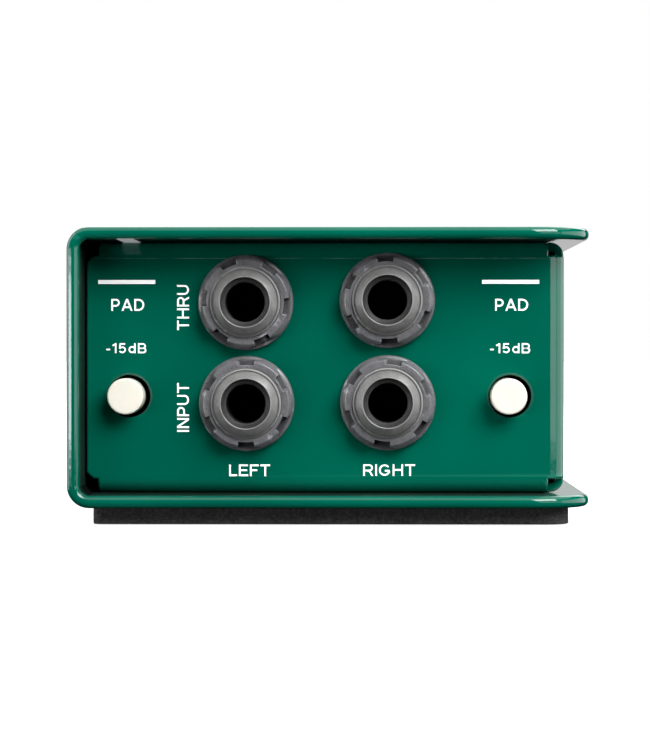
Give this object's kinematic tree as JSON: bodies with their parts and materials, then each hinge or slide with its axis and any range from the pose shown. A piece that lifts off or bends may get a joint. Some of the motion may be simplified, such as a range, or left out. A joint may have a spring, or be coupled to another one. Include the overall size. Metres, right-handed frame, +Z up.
{
  "type": "direct injection box",
  "caption": "Stereo passive direct injection box: folded steel chassis in a C-shaped shell, phone jacks and push switches at one end, XLR outputs at the other.",
  "frame": {"origin": "centre of the rubber pad's bottom face, which is the bottom centre of the whole box", "axes": "+Z up; -Y towards the jack panel, so the picture-side panel faces -Y; +X to the right seen from the jack panel, towards the shell's open side"},
  "size_m": [0.0844, 0.127, 0.048],
  "materials": {
    "shell_paint": "glossy powder coat over 2 mm steel",
    "chassis_paint": "semi-gloss powder coat over 1.6 mm steel, white silk-screened legends",
    "foam": "fine-textured closed-cell rubber pad",
    "black_screw": "black oxide",
    "grey_nylon": "glass-filled nylon, satin",
    "spring_brass": "plated spring strip",
    "switch_black": "moulded",
    "button_white": "ivory, satin",
    "spring_steel": "bright wire",
    "connector_black": "black-coated die-cast zinc",
    "silver_pin": "silver plated",
    "board_green": "solder mask over glass-epoxy",
    "can_steel": "bright tinned shielding can",
    "core_iron": "varnished laminations and a taped winding"
  },
  "bodies": {
    "case": {"outer_shell": "shell_paint", "inner_chassis": "chassis_paint", "base_pad": "foam", "shell_screw_top_front_left": "black_screw", "shell_screw_top_front_right": "black_screw", "shell_screw_top_rear_left": "black_screw", "shell_screw_top_rear_right": "black_screw", "shell_screw_bottom_front": "black_screw", "shell_screw_bottom_rear": "black_screw", "thru_left_jack_body": "grey_nylon", "thru_left_jack_nut": "grey_nylon", "thru_left_sleeve_contact": "spring_brass", "thru_left_tip_contact": "spring_brass", "input_left_jack_body": "grey_nylon", "input_left_jack_nut": "grey_nylon", "input_left_sleeve_contact": "spring_brass", "input_left_tip_contact": "spring_brass", "thru_right_jack_body": "grey_nylon", "thru_right_jack_nut": "grey_nylon", "thru_right_sleeve_contact": "spring_brass", "thru_right_tip_contact": "spring_brass", "input_right_jack_body": "grey_nylon", "input_right_jack_nut": "grey_nylon", "input_right_sleeve_contact": "spring_brass", "input_right_tip_contact": "spring_brass", "pad_left_switch_body": "switch_black", "pad_left_return_spring": "spring_steel", "pad_right_switch_body": "switch_black", "pad_right_return_spring": "spring_steel", "lift_left_switch_body": "switch_black", "lift_left_return_spring": "spring_steel", "lift_right_switch_body": "switch_black", "lift_right_return_spring": "spring_steel", "xlr_left_shell": "connector_black", "xlr_left_pin_1": "silver_pin", "xlr_left_pin_2": "silver_pin", "xlr_left_pin_3": "silver_pin", "xlr_left_screw_upper": "black_screw", "xlr_left_screw_lower": "black_screw", "xlr_right_shell": "connector_black", "xlr_right_pin_1": "silver_pin", "xlr_right_pin_2": "silver_pin", "xlr_right_pin_3": "silver_pin", "xlr_right_screw_upper": "black_screw", "xlr_right_screw_lower": "black_screw", "front_board": "board_green", "main_board": "board_green", "rear_board": "board_green", "transformer_left_can": "can_steel", "transformer_left_core": "core_iron", "transformer_right_can": "can_steel", "transformer_right_core": "core_iron"},
    "pad_left_button": {"pad_left_button_cap": "button_white", "pad_left_plunger": "switch_black"},
    "pad_right_button": {"pad_right_button_cap": "button_white", "pad_right_plunger": "switch_black"},
    "lift_left_button": {"lift_left_button_cap": "button_white", "lift_left_plunger": "switch_black"},
    "lift_right_button": {"lift_right_button_cap": "button_white", "lift_right_plunger": "switch_black"}
  },
  "joints": [
    {"name": "pad_left_press", "type": "slide", "parent": "case", "child": "pad_left_button", "axis": [0, 1, 0], "range_m": [0, 0.0025], "stiffness_N_per_m": 250, "springref_m": -0.004, "deforming": ["pad_left_return_spring"]},
    {"name": "pad_right_press", "type": "slide", "parent": "case", "child": "pad_right_button", "axis": [0, 1, 0], "range_m": [0, 0.0025], "stiffness_N_per_m": 250, "springref_m": -0.004, "deforming": ["pad_right_return_spring"]},
    {"name": "lift_left_press", "type": "slide", "parent": "case", "child": "lift_left_button", "axis": [0, -1, 0], "range_m": [0, 0.0025], "stiffness_N_per_m": 250, "springref_m": -0.004, "deforming": ["lift_left_return_spring"]},
    {"name": "lift_right_press", "type": "slide", "parent": "case", "child": "lift_right_button", "axis": [0, -1, 0], "range_m": [0, 0.0025], "stiffness_N_per_m": 250, "springref_m": -0.004, "deforming": ["lift_right_return_spring"]}
  ]
}
